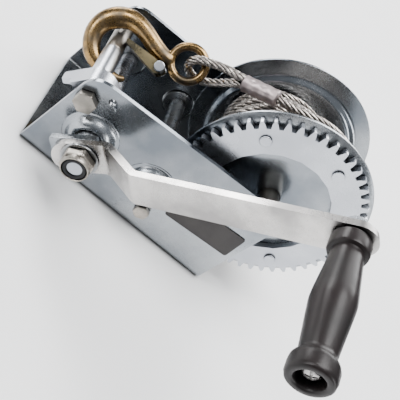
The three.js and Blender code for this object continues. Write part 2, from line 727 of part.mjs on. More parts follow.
// ---- the winch ----------------------------------------------------------------------------
const winch = new THREE.Group();
winch.add(
  makeFrame(),
  assembly(crankAxis, makeBush('crank_bush_near', -1), makeBush('crank_bush_far', 1)),
  assembly(layAxis, makeBush('lay_bush_near', -1), makeBush('lay_bush_far', 1)),
  assembly(
    drumAxis,
    makeBolt('drum_axle', axleRadius, 17, 6.4, nearFace - gap, farFace + 11),
    makeNut('drum_axle_nut', axleRadius + 0.1, 17, farFace + gap, farFace + 9.3),
    part('drum_axle_spacer', tube(axleRadius + gap, spacerRadius, nearInside + gap, farInside - gap), nylon),
    ...makeDrumParts(),
  ),
  assembly(
    pawlAxis,
    makeBolt('pawl_bolt', 4, 13, 5.3, nearFace - gap, farFace + 9),
    makeNut('pawl_bolt_nut', 4.1, 13, farFace + gap, farFace + 6.8),
    part('pawl_bolt_spacer', tube(4.2, 6, sleeveEnd + 1, farInside - gap), turnedSteel),
    makePawl(),
  ),
  assembly(
    stopAxis,
    makeBolt('stop_bolt', 3, 10, 4, nearFace - gap, nearInside + 0.5),
  ),
  makePawlSpring(),
  assembly(layAxis, ...makeLayParts()),
  assembly(crankAxis, ...makeCrankParts(), makeArmParts()),
  hookGroup(makeHook(), makeLatch(), makeLatchRivet()),
  part('rope_lead', sweep(leadRoute(), ropeRadius, 12, 8), ropeSteel),
  part('rope_loop', sweep(loopRoute, ropeRadius - 0.2, 26, 8), ropeSteel),
  makeFerrule(),
  makeLabel(),
);

export default winch;
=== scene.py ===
import json
import math

import bmesh
import bpy
from mathutils import Matrix, Vector

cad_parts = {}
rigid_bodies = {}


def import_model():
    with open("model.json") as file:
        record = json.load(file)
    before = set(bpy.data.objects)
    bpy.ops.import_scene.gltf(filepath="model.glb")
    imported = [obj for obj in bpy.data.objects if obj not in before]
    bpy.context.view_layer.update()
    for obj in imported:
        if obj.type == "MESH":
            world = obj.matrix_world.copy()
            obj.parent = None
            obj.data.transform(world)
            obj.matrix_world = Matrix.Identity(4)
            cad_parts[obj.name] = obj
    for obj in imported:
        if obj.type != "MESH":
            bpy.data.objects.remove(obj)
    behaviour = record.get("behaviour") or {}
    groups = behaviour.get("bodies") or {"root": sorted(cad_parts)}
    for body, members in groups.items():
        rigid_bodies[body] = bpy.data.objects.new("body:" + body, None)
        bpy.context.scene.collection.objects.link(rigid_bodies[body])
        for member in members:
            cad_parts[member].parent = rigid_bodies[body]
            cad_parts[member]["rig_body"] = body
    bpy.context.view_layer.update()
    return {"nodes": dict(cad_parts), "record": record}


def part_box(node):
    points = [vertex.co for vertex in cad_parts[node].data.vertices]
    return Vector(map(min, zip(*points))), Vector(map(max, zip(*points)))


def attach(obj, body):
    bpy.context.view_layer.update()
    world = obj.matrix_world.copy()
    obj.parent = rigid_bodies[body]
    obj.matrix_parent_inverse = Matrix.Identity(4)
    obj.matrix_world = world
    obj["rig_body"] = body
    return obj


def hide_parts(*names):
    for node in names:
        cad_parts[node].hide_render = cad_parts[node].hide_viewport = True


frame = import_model()


# ---- camera --------------------------------------------------------------------------------
# It looks down at the crank side from in front, rolled so that the base slants across the view.
camera = bpy.data.objects.new("camera", bpy.data.cameras.new("camera"))
bpy.context.scene.collection.objects.link(camera)
bpy.context.scene.camera = camera
camera.data.sensor_width = 36
camera.data.lens = 58.4
camera.data.clip_start = 0.01
camera_right = Vector((0.7002, 0.1697, 0.6935)).normalized()
camera_up = Vector((-0.6062, 0.6544, 0.4519)).normalized()
camera_place = Vector((-0.1280, -0.3555, 0.2889))
camera.matrix_world = Matrix.Translation(camera_place) @ Matrix(
    (camera_right, camera_up, camera_right.cross(camera_up))
).transposed().to_4x4()


# ---- side frame ----------------------------------------------------------------------------
# One steel sheet, bent up on both sides into a channel, tumbled round at its cut edges and bright
# zinc plated. Four bearing bosses are pressed out of it, and each is drawn again here, finely,
# over the place that it is cut from.
half_width = 0.0495
crank_axis, lay_axis = Vector((-0.0487, 0, 0.0375)), Vector((0.00005, 0, 0.0375))
frame_edge = 0.0010
boss_cut_radius = 0.0166
boss_outline = (
    (18.4, -1.0), (18.4, 0.0), (17.4, 0.06), (16.4, 0.4), (15.5, 1.15), (14.7, 2.2), (13.9, 3.4),
    (13.0, 4.5), (12.0, 5.3), (11.0, 5.8), (10.1, 6.0), (9.5, 5.9), (9.2, 5.5), (9.2, 3.4),
    (10.6, 2.8), (11.7, 1.2), (12.6, -2.2), (13.4, -2.9), (14.6, -3.04), (18.4, -3.0),
)
slots = {entry["node"]: entry["material_slot"] for entry in frame["record"]["subparts"]}


def make_tone_and_painted_reflection():
    """Plating, plastic and wire all vary in soft patches of two colours, under a fine grain. On the bright
    zinc the patches are painted reflection that stands in for the surroundings it reflects. On the other
    finishes they are the material's own uneven tone.
    """
    group = bpy.data.node_groups.new("tone_and_painted_reflection", "ShaderNodeTree")
    for name, kind, value in (
        ("First Colour", "NodeSocketColor", (0.7, 0.7, 0.7, 1)),
        ("Second Colour", "NodeSocketColor", (0.6, 0.6, 0.6, 1)),
        ("Patch Scale", "NodeSocketFloat", 20),
        ("Grain Scale", "NodeSocketFloat", 900),
        ("Least Roughness", "NodeSocketFloat", 0.2),
        ("Most Roughness", "NodeSocketFloat", 0.4),
    ):
        group.interface.new_socket(name, in_out="INPUT", socket_type=kind).default_value = value
    for name, kind in (
        ("Colour", "NodeSocketColor"), ("Roughness", "NodeSocketFloat"), ("Height", "NodeSocketFloat"),
    ):
        group.interface.new_socket(name, in_out="OUTPUT", socket_type=kind)
    nodes, links = group.nodes, group.links
    given, made = nodes.new("NodeGroupInput"), nodes.new("NodeGroupOutput")
    place = nodes.new("ShaderNodeTexCoord")
    patches, grain = nodes.new("ShaderNodeTexNoise"), nodes.new("ShaderNodeTexNoise")
    patches.inputs["Detail"].default_value = 5
    grain.inputs["Detail"].default_value = 2
    for texture, scale in ((patches, "Patch Scale"), (grain, "Grain Scale")):
        links.new(place.outputs["Object"], texture.inputs["Vector"])
        links.new(given.outputs[scale], texture.inputs["Scale"])
    spread, rough = nodes.new("ShaderNodeMapRange"), nodes.new("ShaderNodeMapRange")
    for ramp in (spread, rough):
        ramp.inputs["From Min"].default_value = 0.36
        ramp.inputs["From Max"].default_value = 0.64
    mix = nodes.new("ShaderNodeMix")
    mix.data_type = "RGBA"
    blend = nodes.new("ShaderNodeMix")
    blend.inputs["Factor"].default_value = 0.35
    links.new(patches.outputs["Fac"], spread.inputs["Value"])
    links.new(spread.outputs["Result"], mix.inputs["Factor"])
    links.new(given.outputs["First Colour"], mix.inputs["A"])
    links.new(given.outputs["Second Colour"], mix.inputs["B"])
    links.new(patches.outputs["Fac"], blend.inputs["A"])
    links.new(grain.outputs["Fac"], blend.inputs["B"])
    links.new(blend.outputs["Result"], rough.inputs["Value"])
    links.new(given.outputs["Least Roughness"], rough.inputs["To Min"])
    links.new(given.outputs["Most Roughness"], rough.inputs["To Max"])
    links.new(mix.outputs["Result"], made.inputs["Colour"])
    links.new(rough.outputs["Result"], made.inputs["Roughness"])
    links.new(grain.outputs["Fac"], made.inputs["Height"])
    return group


def make_painted_corner_shade(name, own_faces_only):
    """Painted shade: darkens a colour in narrow corners, where shade falls, those of the piece itself or
    those with any other too.
    """
    group = bpy.data.node_groups.new(name, "ShaderNodeTree")
    group.interface.new_socket("Colour", in_out="INPUT", socket_type="NodeSocketColor")
    group.interface.new_socket("Corner Width", in_out="INPUT", socket_type="NodeSocketFloat")
    group.interface.new_socket("Colour", in_out="OUTPUT", socket_type="NodeSocketColor")
    nodes, links = group.nodes, group.links
    given, made = nodes.new("NodeGroupInput"), nodes.new("NodeGroupOutput")
    corners, shade = nodes.new("ShaderNodeAmbientOcclusion"), nodes.new("ShaderNodeMapRange")
    corners.samples = 6
    corners.only_local = own_faces_only
    shade.inputs["From Min"].default_value = 0.25
    shade.inputs["From Max"].default_value = 0.85
    shade.inputs["To Min"].default_value = 0.15
    darken = nodes.new("ShaderNodeVectorMath")
    darken.operation = "SCALE"
    links.new(given.outputs["Corner Width"], corners.inputs["Distance"])
    links.new(corners.outputs["AO"], shade.inputs["Value"])
    links.new(given.outputs["Colour"], darken.inputs[0])
    links.new(shade.outputs["Result"], darken.inputs["Scale"])
    links.new(darken.outputs["Vector"], made.inputs["Colour"])
    return group


# Soft patches: painted reflection on the bright zinc, and the materials' own uneven tone elsewhere.
tone_and_painted_reflection = make_tone_and_painted_reflection()
# Painted shade, which darkens each finish in its narrow corners.
painted_corner_shade = make_painted_corner_shade("painted_corner_shade", False)
own_painted_corner_shade = make_painted_corner_shade("own_painted_corner_shade", True)


def surface_finish(
    name, colours, patch_scale, grain_scale, roughness,
    metallic=1.0, grain_depth=0.00002, corner_width=0.006, corner_shade=painted_corner_shade,
):
    """colours are the two that the patches vary between, and roughness its least and its most."""
    material = bpy.data.materials.new(name)
    material.use_nodes = True
    nodes, links = material.node_tree.nodes, material.node_tree.links
    shader = nodes["Principled BSDF"]
    shader.inputs["Metallic"].default_value = metallic
    shader.inputs["Specular IOR Level"].default_value = 0.5 if metallic else 0.22
    tone_and_reflection, corner_shading = nodes.new("ShaderNodeGroup"), nodes.new("ShaderNodeGroup")
    tone_and_reflection.node_tree = tone_and_painted_reflection
    tone_and_reflection.inputs["First Colour"].default_value = (*colours[0], 1)
    tone_and_reflection.inputs["Second Colour"].default_value = (*colours[1], 1)
    tone_and_reflection.inputs["Patch Scale"].default_value = patch_scale
    tone_and_reflection.inputs["Grain Scale"].default_value = grain_scale
    tone_and_reflection.inputs["Least Roughness"].default_value = roughness[0]
    tone_and_reflection.inputs["Most Roughness"].default_value = roughness[1]
    # Painted shade: the colour is darkened in narrow corners.
    corner_shading.node_tree = corner_shade
    corner_shading.inputs["Corner Width"].default_value = corner_width
    bump = nodes.new("ShaderNodeBump")
    bump.inputs["Distance"].default_value = grain_depth
    bump.inputs["Strength"].default_value = 0.3
    links.new(tone_and_reflection.outputs["Colour"], corner_shading.inputs["Colour"])
    links.new(corner_shading.outputs["Colour"], shader.inputs["Base Color"])
    links.new(tone_and_reflection.outputs["Roughness"], shader.inputs["Roughness"])
    links.new(tone_and_reflection.outputs["Height"], bump.inputs["Height"])
    links.new(bump.outputs["Normal"], shader.inputs["Normal"])
    return material


def link_mesh(name, mesh):
    piece = bpy.data.objects.new(name, mesh)
    bpy.context.scene.collection.objects.link(piece)
    return piece


def finish_piece(shape, name, material, *nodes):
    """Makes a bmesh a smooth piece that rides with, and stands for, the parts it is named for."""
    mesh = bpy.data.meshes.new(name)
    for face in shape.faces:
        face.smooth = True
    shape.to_mesh(mesh)
    shape.free()
    mesh.materials.append(material)
    mesh.set_sharp_from_angle(angle=math.radians(42))
    piece = link_mesh(name, mesh)
    shading = piece.modifiers.new("even_shading", "WEIGHTED_NORMAL")
    shading.keep_sharp = True
    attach(piece, frame["nodes"][nodes[0]]["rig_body"])
    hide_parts(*nodes)
    return piece


def merged_copy(node):
    """A part's own shape, with its triangles merged into whole flat faces."""
    shape = bmesh.new()
    shape.from_mesh(frame["nodes"][node].data)
    bmesh.ops.remove_doubles(shape, verts=shape.verts, dist=1e-6)
    bmesh.ops.dissolve_limit(shape, angle_limit=math.radians(1), verts=shape.verts, edges=shape.edges)
    return shape


def round_edges(shape, width, sharper_than=32, segments=2):
    edges = [edge for edge in shape.edges if edge.calc_face_angle(0) > math.radians(sharper_than)]
    bmesh.ops.bevel(
        shape, geom=edges, offset=width, segments=segments, profile=0.5, affect="EDGES",
        clamp_overlap=True, material=-1,
    )
    return shape


def turned_shape(outline, steps=72, shape=None, place=Matrix.Identity(4)):
    """A (radius, along) outline spun about the Y axis, closed unless it starts and ends on the axis."""
    shape = shape or bmesh.new()
    corners = [shape.verts.new(place @ Vector((radius, along, 0))) for radius, along in outline]
    pairs = list(zip(corners, corners[1:]))
    if outline[0][0] > 0:
        pairs.append((corners[-1], corners[0]))
    edges = [shape.edges.new(pair) for pair in pairs]
    bmesh.ops.spin(
        shape, geom=[*corners, *edges], cent=place.translation, axis=place.to_3x3() @ Vector((0, 1, 0)),
        angle=2 * math.pi, steps=steps, use_merge=True,
    )
    bmesh.ops.remove_doubles(shape, verts=shape.verts, dist=1e-7)
    bmesh.ops.recalc_face_normals(shape, faces=shape.faces)
    return shape


# Painted reflection: the bright zinc's dark and pale patches stand in for the surroundings it reflects.
bright_zinc = surface_finish(
    "bright_zinc", ((0.16, 0.18, 0.205), (0.40, 0.42, 0.44)), 16, 1400, (0.16, 0.34),
    # painted shade in its corners, from its own faces only
    corner_shade=own_painted_corner_shade,
)
side_frame = merged_copy("frame")
pressed = [
    face for face in side_frame.faces
    for axis in (crank_axis, lay_axis)
    if all(math.hypot(v.co.x - axis.x, v.co.z - axis.z) < boss_cut_radius for v in face.verts)
]
bmesh.ops.delete(side_frame, geom=pressed, context="FACES")
round_edges(side_frame, frame_edge, segments=3)
for axis in (crank_axis, lay_axis):
    for side in (-1, 1):
        outline = [(radius / 1000, side * (half_width + height / 1000)) for radius, height in boss_outline]
        turned_shape(outline, shape=side_frame, place=Matrix.Translation(axis))
finish_piece(side_frame, "side_frame", bright_zinc, "frame")


# ---- drum flanges --------------------------------------------------------------------------
# Two discs pressed from thin sheet and bright zinc plated. The near one turns in a little at its
# middle and its rim; the far one steps outwards near its rim. Both are fixed to the drum's barrel.
flange_sheet = 0.0018
flange_edge = 0.0004
near_flange, far_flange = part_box("drum_flange_near"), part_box("drum_flange_far")
near_y, far_y = near_flange[0].y, far_flange[0].y
drum_axis = Vector(((far_flange[0].x + far_flange[1].x) / 2, 0, (far_flange[0].z + far_flange[1].z) / 2))


def pressed_disc(node, rise, base):
    """rise gives (radius, height) along the disc's near face, and the far face follows it."""
    near = [(radius / 1000, base + height / 1000) for radius, height in rise]
    far = [(radius, along + flange_sheet) for radius, along in reversed(near)]
    shape = turned_shape([*near, *far], 128, place=Matrix.Translation(drum_axis))
    round_edges(shape, flange_edge, 40)
    return finish_piece(shape, f"{node}_pressed", bright_zinc, node)


pressed_disc("drum_flange_near", (
    (7.6, 2.4), (20, 1.5), (33, 0.15), (36, 0), (60, 0), (62.5, 0.15), (65, 0.7), (67.5, 1.4),
), near_y)
pressed_disc("drum_flange_far", (
    (7.6, 0), (49.5, 0), (51.2, 0.15), (52.6, 0.9), (54.2, 2.6), (55.6, 3.3), (57.5, 3.5), (66.3, 4.2),
), far_y)


# ---- drum gear and rivets ------------------------------------------------------------------
# The gear is a ring of teeth stamped from thicker plate, with a paler zinc on it. Six rivets go
# through it and are pressed nearly flush, and hold it to the near flange.
rivet_count = 6
gear_edge, rivet_edge = 0.0005, 0.0006
gear_zinc = surface_finish(
    "gear_zinc", ((0.52, 0.54, 0.58), (0.40, 0.42, 0.46)), 20, 1400, (0.22, 0.40),
)


def finished_copy(node, material, width=0.0003):
    """A part in its own shape, with its edges broken by a fine radius."""
    return finish_piece(round_edges(merged_copy(node), width), f"{node}_finished", material, node)


finished_copy("drum_gear", gear_zinc, gear_edge)
for i in range(rivet_count):
    finished_copy(f"drum_rivet_{i + 1}", gear_zinc, rivet_edge)


# ---- wound rope ----------------------------------------------------------------------------
# Six strands of galvanised wires, laid in a helix. On the drum the turns lie side by side, in
# layers that step down towards the far flange, and get slacker on the crank side as they do.
rope_diameter = 0.006
strands = 6
strand_radius = 0.00102
strand_hollow = 0.74
strand_lay, wire_lay = 0.030, 0.015
turn_pitch = 0.0061
steps_per_turn = 120
lead_radius, lead_start = 0.0578, math.radians(84)
last_turns_from, last_turns_to = -0.0187, -0.0252
top_layer, layer_step = 0.0567, 0.0052
layers_from, layer_ends = -0.0190, (-0.0060, 0.0050, 0.0170, 0.0262)
layer_overlap = 0.004
layer_turn = math.radians(40)
slack_side, slack_per_layer = math.radians(160), 0.0035
sways = ((0.00025, 5), (0.0002, 13.7))
galvanised_wire = surface_finish(
    "galvanised_wire", ((0.52, 0.48, 0.44), (0.24, 0.215, 0.20)), 260, 3000, (0.20, 0.36),
    # painted shade in the narrow gaps between the strands
    corner_width=0.0016,
)


def strand_section():
    """Across a strand, six outer wires make six round lobes."""
    data = bpy.data.curves.new("strand_section", "CURVE")
    data.dimensions = "2D"
    spline = data.splines.new("POLY")
    spline.points.add(11)
    for i, point in enumerate(spline.points):
        radius = strand_radius * (1 if i % 2 else strand_hollow)
        point.co = (radius * math.cos(math.pi * i / 6), radius * math.sin(math.pi * i / 6), 0, 1)
    spline.use_cyclic_u = True
    section = bpy.data.objects.new("strand_section", data)
    bpy.context.scene.collection.objects.link(section)
    return section


def rope_along(name, line):
    """Lays the strands round a line of close and even points."""
    section = strand_section()
    data = bpy.data.curves.new(name, "CURVE")
    data.dimensions = "3D"
    data.bevel_mode = "OBJECT"
    data.bevel_object = section
    data.use_fill_caps = True
    side = (line[1] - line[0]).orthogonal().normalized()
    rings, travelled = [], 0
    for i, point in enumerate(line):
        ahead = (line[min(i + 1, len(line) - 1)] - line[max(i - 1, 0)]).normalized()
        side = (side - ahead * side.dot(ahead)).normalized()
        travelled += (point - line[max(i - 1, 0)]).length
        rings.append((point, side.copy(), ahead.cross(side), travelled))
    for strand in range(strands):
        spline = data.splines.new("POLY")
        spline.points.add(len(line) - 1)
        for place, (point, across, over, distance) in zip(spline.points, rings):
            turn = 2 * math.pi * (distance / strand_lay + strand / strands)
            outwards = across * math.cos(turn) + over * math.sin(turn)
            place.co = (*(point + outwards * (rope_diameter / 2 - strand_radius)), 1)
            place.tilt = -2 * math.pi * distance / wire_lay
    shape = bpy.data.objects.new(name, data)
    bpy.context.scene.collection.objects.link(shape)
    bpy.context.view_layer.update()
    mesh = bpy.data.meshes.new_from_object(shape.evaluated_get(bpy.context.evaluated_depsgraph_get()))
    bpy.data.objects.remove(shape)
    bpy.data.objects.remove(section)
    mesh.materials.clear()
    mesh.materials.append(galvanised_wire)
    for face in mesh.polygons:
        face.use_smooth = True
    rope = link_mesh(name, mesh)
    return rope


def round_drum(radius, angle, along):
    return drum_axis + Vector((radius * math.cos(angle), along, radius * math.sin(angle)))


def wound_turns(name, radii, start_angle, alongs, slack=0, step_over=0):
    """Turns that run back round the drum from an angle, between two radii and two places along it.
    Slack turns bulge away from the drum on the crank side. Turns that step over start beside the
    first place and cross to it in a sixth of a turn."""
    turns = abs(alongs[1] - alongs[0]) / turn_pitch
    steps = round(turns * steps_per_turn)
    line = []
    for i in range(steps + 1):
        share = i / steps
        sway = sum(size * math.sin(rate * share * turns) for size, rate in sways)
        angle = start_angle - 2 * math.pi * turns * share
        radius = radii[0] + (radii[1] - radii[0]) * min(1, share * turns * 2) + sway
        radius += slack * max(0, math.cos(angle - slack_side)) ** 2
        along = alongs[0] + (alongs[1] - alongs[0]) * share + sway
        line.append(round_drum(radius, angle, along + step_over * max(0, 1 - 6 * turns * share)))
    rope = rope_along(name, line)
    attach(rope, "drum")
    return rope


last_turns = wound_turns(
    "rope_last_turns", (lead_radius, top_layer), lead_start, (last_turns_from, last_turns_to),
    step_over=turn_pitch,
)
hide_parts("rope_winding")
layer_begin = layers_from
for i, layer_end in enumerate(layer_ends):
    radius = top_layer - layer_step * (i + 1)
    along = (layer_begin, layer_end)
    wound_turns(f"rope_layer_{i + 1}", (radius, radius), layer_turn * i, along, slack_per_layer * i)
    layer_begin = layer_end - layer_overlap


# ---- free rope -----------------------------------------------------------------------------
# The same rope, in one length with the winding. It leaves the top of the drum, passes through the
# ferrule, goes round the hook's eye and comes back to the ferrule, which holds it doubled.
free_rope_step = 0.0012
ferrule_start, ferrule_end = Vector((0.022, -0.0055, 0.123)), Vector((0.0018, 0.0025, 0.110))
lead_along, lead_drift = -0.0126, 0.0004
wrapped = [
    round_drum(lead_radius, math.radians(degrees), lead_along + lead_drift * i)
    for i, degrees in enumerate((84, 95.5, 107, 118.6))
]
to_ferrule = [Vector((0.0296, -0.0084, 0.1272)), Vector((0.0224, -0.0058, 0.1233))]
round_eye = [Vector(point) / 1000 for point in (
    (-0.2, 2.2, 112.2), (-3.4, 3.5, 110.2), (-9.7, 6.5, 106.7), (-15.9, 8.3, 102.7),
    (-22.7, 10.1, 97.7), (-26.4, 11.0, 94.2), (-27.9, 12.4, 89.4), (-26.6, 14.2, 84.8),
    (-23.0, 15.8, 81.4), (-18.1, 16.7, 80.2), (-13.1, 16.8, 81.5), (-7.1, 14.1, 87.8),
    (0.0, 4.3, 105.3), (3.2, 3.0, 107.4),
)]


def smooth_line(points, spacing):
    """A Catmull-Rom line through the points, in even steps."""
    ends = [2 * points[0] - points[1], *points, 2 * points[-1] - points[-2]]
    fine = []
    for a, b, c, d in zip(ends, ends[1:], ends[2:], ends[3:]):
        for i in range(24):
            t = i / 24
            bend = (2 * a - 5 * b + 4 * c - d) * t**2 + (3 * b - a - 3 * c + d) * t**3
            fine.append(0.5 * (2 * b + (c - a) * t + bend))
    fine.append(points[-1])
    even, travelled = [fine[0]], 0
    for before, after in zip(fine, fine[1:]):
        travelled += (after - before).length
        if travelled >= spacing * len(even):
            even.append(after)
    return even


ferrule_middle = ferrule_start.lerp(ferrule_end, 0.5)
free_line = smooth_line([*wrapped, *to_ferrule, ferrule_middle, *round_eye], free_rope_step)
free_rope = rope_along("free_rope", free_line)
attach(free_rope, "frame")
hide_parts("rope_lead", "rope_loop")


# ---- hook ----------------------------------------------------------------------------------
# Drop-forged steel, yellow plated: a round bowl that tapers to the tip, a shank and a ring for an
# eye. It hangs in a plane turned towards the crank side, and its sizes are in millimetres, with u
# towards the eye and v towards the top of the bowl.
hook_u = Vector((0.7002, 0.1697, 0.6935)).normalized()
hook_v = Vector((-0.6062, 0.6544, 0.4519)).normalized()
hook_middle = Vector((-0.0655, 0.0145, 0.059))
hook_place = (
    Matrix.Translation(hook_middle) @ Matrix((hook_u, hook_v, hook_u.cross(hook_v))).transposed().to_4x4()
)
thickest_half = 5.5
station_step = 2.4
eye_u, eye_v, eye_radius, eye_half_width, eye_half_thick = 45.2, -11.3, 11.6, 2.9, 3.6
forging_grain = 0.0006
yellow_zinc = surface_finish(
    "yellow_zinc", ((0.29, 0.18, 0.07), (0.10, 0.078, 0.052)), 110, 1200, (0.18, 0.42),
    grain_depth=0.00012,
)

# Each is u, v and half the width; between them the hook is drawn smoothly.
hook_line = [
    (3.4, -20.6, 1.6), (-0.5, -20.9, 2.8), (-6, -18.6, 4.0), (-12.4, -12.6, 5.0), (-17.2, -5.0, 5.8),
    (-18.2, 2.8, 6.0), (-15.6, 10.9, 6.4), (-9.2, 17.0, 7.0), (-0.4, 19.2, 7.4), (7.8, 17.8, 6.9),
    (13.6, 13.6, 6.3), (18.2, 8.2, 6.0), (22.5, 1.8, 5.9), (26.6, -3.9, 5.9), (31.0, -8.0, 5.2),
    (36.4, -10.6, 3.4),
]


def loft(shape, stations, closed=False):
    """Ovals across a line in the hook's plane, each (u, v, heading, half width, half thickness)."""
    loops = []
    for u, v, heading, half, thick in stations:
        turn = Matrix.Rotation(heading, 4, "Z") @ Matrix.Rotation(math.pi / 2, 4, "X")
        size = Matrix.Diagonal((half, thick, 1, 1))
        ring = bmesh.ops.create_circle(
            shape, segments=24, radius=0.001,
            matrix=hook_place @ Matrix.Translation((u / 1000, v / 1000, 0)) @ turn @ size,
        )
        loops.append(list({edge for vert in ring["verts"] for edge in vert.link_edges}))
    pairs = list(zip(loops, loops[1:]))
    if closed:
        pairs.append((loops[-1], loops[0]))
    for first, second in pairs:
        bmesh.ops.bridge_loops(shape, edges=[*first, *second])
    if not closed:
        bmesh.ops.holes_fill(shape, edges=[*loops[0], *loops[-1]], sides=0)
    bmesh.ops.recalc_face_normals(shape, faces=shape.faces)


def forged_stations():
    along = smooth_line([Vector((u, v, half)) for u, v, half in hook_line], station_step)
    stations = []
    for i, here in enumerate(along):
        ahead = along[min(i + 1, len(along) - 1)] - along[max(i - 1, 0)]
        heading = math.atan2(ahead.y, ahead.x) - math.pi / 2
        stations.append((here.x, here.y, heading, here.z, min(here.z, thickest_half)))
    return stations


def eye_stations():
    angles = [2 * math.pi * i / 32 for i in range(32)]
    return [(
        eye_u + eye_radius * math.cos(angle), eye_v + eye_radius * math.sin(angle), angle,
        eye_half_width, eye_half_thick,
    ) for angle in angles]


# The bowl and the ring run into each other, and are made one skin and then softened, as forging does.
hook_shape = bmesh.new()
loft(hook_shape, forged_stations())
loft(hook_shape, eye_stations(), closed=True)
hook_mesh = bpy.data.meshes.new("hook_rough")
hook_shape.to_mesh(hook_mesh)
hook_shape.free()
hook_rough = link_mesh("hook_rough", hook_mesh)
forge = hook_rough.modifiers.new("forge", "REMESH")
forge.mode = "VOXEL"
forge.voxel_size = forging_grain
soften = hook_rough.modifiers.new("soften", "SMOOTH")
soften.factor = 0.5
soften.iterations = 5
bpy.context.view_layer.update()
forged = bmesh.new()
forged.from_mesh(bpy.data.meshes.new_from_object(
    hook_rough.evaluated_get(bpy.context.evaluated_depsgraph_get())
))
bpy.data.objects.remove(hook_rough)
hook = finish_piece(forged, "forged_hook", yellow_zinc, "hook")


# ---- hook's latch --------------------------------------------------------------------------
# A keeper folded from thin sheet, in a darker yellow plating, that turns on a rivet through the
# hook's shank. The rivet's bright head is domed.
latch_edge, latch_rivet_edge = 0.0004, 0.0010
dark_yellow_zinc = surface_finish(
    "dark_yellow_zinc", ((0.15, 0.13, 0.085), (0.27, 0.22, 0.12)), 60, 1200, (0.2, 0.4),
)
latch = finished_copy("hook_latch", dark_yellow_zinc, latch_edge)
latch_rivet = finished_copy("latch_rivet", gear_zinc, latch_rivet_edge)


# ---- ferrule -------------------------------------------------------------------------------
# A sleeve of soft metal, pressed on the doubled rope in a die that leaves three shallow bands and
# squeezes it a little flat. The rope, ferrule and hook are one cord with its fitting.
ferrule_radius, band_rise, band_count = 0.0056, 0.00035, 3
ferrule_wide, ferrule_flat = 1.16, 0.94
pressed_metal = surface_finish(
    "pressed_metal", ((0.50, 0.43, 0.43), (0.33, 0.28, 0.28)), 110, 1500, (0.35, 0.55),
)
ferrule_along = ferrule_end - ferrule_start
ferrule_length = ferrule_along.length
ferrule_outline = [(0, 0.0002), (0.0046, 0.0002), (0.0055, 0.0008)]
for i in range(25):
    share = i / 24
    band = 0.5 + 0.5 * math.cos(2 * math.pi * band_count * share)
    ferrule_outline.append((
        ferrule_radius + band_rise * band, 0.0012 + (ferrule_length - 0.0024) * share,
    ))
ferrule_outline += [(0.0055, ferrule_length - 0.0008), (0.0046, ferrule_length - 0.0002)]
ferrule_outline.append((0, ferrule_length - 0.0002))
ferrule_shape = turned_shape(ferrule_outline, 40)
flatten = Matrix.Diagonal((ferrule_wide, 1, ferrule_flat, 1))
facing = Vector((0, 1, 0)).rotation_difference(ferrule_along).to_matrix().to_4x4()
bmesh.ops.transform(
    ferrule_shape, verts=ferrule_shape.verts, matrix=Matrix.Translation(ferrule_start) @ facing @ flatten,
)
ferrule = finish_piece(ferrule_shape, "pressed_ferrule", pressed_metal, "rope_ferrule")


# ---- crank arm, hub plate and washer -------------------------------------------------------
# The arm is flat steel bar, cranked outwards beside the hub and plated in a pale zinc. It sits on
# the flats of the crank shaft, between a square plate behind and a turned washer in front.
arm_edge, plate_edge, washer_edge = 0.0008, 0.0006, 0.0003
pale_zinc = surface_finish(
    "pale_zinc", ((0.62, 0.60, 0.58), (0.33, 0.32, 0.315)), 34, 1400, (0.18, 0.38),
)
turned_steel = surface_finish(
    "turned_steel", ((0.46, 0.47, 0.48), (0.28, 0.29, 0.30)), 60, 2200, (0.20, 0.38),
)
finished_copy("crank_arm", pale_zinc, arm_edge)
finished_copy("hub_plate", bright_zinc, plate_edge)
finished_copy("hub_washer", turned_steel, washer_edge)


# ---- lock nut and crank shaft --------------------------------------------------------------
# A zinc plated lock nut: a hexagon with a round collar, which holds a ring of black nylon that
# grips the thread. It clamps the arm on the shaft, whose end shows inside the ring.
nut_corner, nut_edge, nut_turn = 0.0107, 0.0009, math.radians(12)
collar_outside, collar_inside, collar_length, collar_sunk = 0.0088, 0.0076, 0.0032, 0.001
shaft_edge = 0.0008
nut_front, nut_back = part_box("hub_nut")[0].y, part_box("hub_nut")[1].y
shaft_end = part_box("crank_shaft")[0].y
bolt_zinc = surface_finish(
    "bolt_zinc", ((0.42, 0.385, 0.34), (0.24, 0.225, 0.20)), 120, 1500, (0.24, 0.46),
    grain_depth=0.00006,
)
black_nylon = surface_finish(
    "black_nylon", ((0.004, 0.004, 0.005), (0.007, 0.007, 0.008)), 90, 900, (0.35, 0.5), metallic=0.0,
)
nut_middle = (nut_front + collar_length + nut_back) / 2
nut_shape = bmesh.new()
bmesh.ops.create_cone(
    nut_shape, cap_ends=True, segments=6, radius1=nut_corner, radius2=nut_corner,
    depth=nut_back - nut_front - collar_length,
    matrix=Matrix.Translation(crank_axis + Vector((0, nut_middle, 0))) @ Matrix.Rotation(math.pi / 2, 4, "X")
    @ Matrix.Rotation(nut_turn, 4, "Z"),
)
round_edges(nut_shape, nut_edge, segments=3)
turned_shape([
    (collar_inside, nut_front + collar_length + collar_sunk), (collar_inside, nut_front + 0.0004),
    (collar_inside + 0.0003, nut_front), (collar_outside - 0.0006, nut_front),
    (collar_outside - 0.0002, nut_front + 0.0002), (collar_outside, nut_front + 0.0008),
    (collar_outside + 0.0003, nut_front + collar_length),
    (collar_outside, nut_front + collar_length + collar_sunk),
], 64, nut_shape, Matrix.Translation(crank_axis))
finish_piece(nut_shape, "lock_nut", bolt_zinc, "hub_nut")
ring_shape = turned_shape([
    (0.0047, shaft_end + 0.0004), (0.0047, shaft_end - 0.0003), (0.0055, shaft_end - 0.0009),
    (0.0068, shaft_end - 0.0009), (0.0074, shaft_end - 0.0003), (0.0074, shaft_end + 0.0008),
], 64, place=Matrix.Translation(crank_axis))
finish_piece(ring_shape, "lock_ring", black_nylon, "hub_nut_insert")
finished_copy("crank_shaft", gear_zinc, shaft_edge)


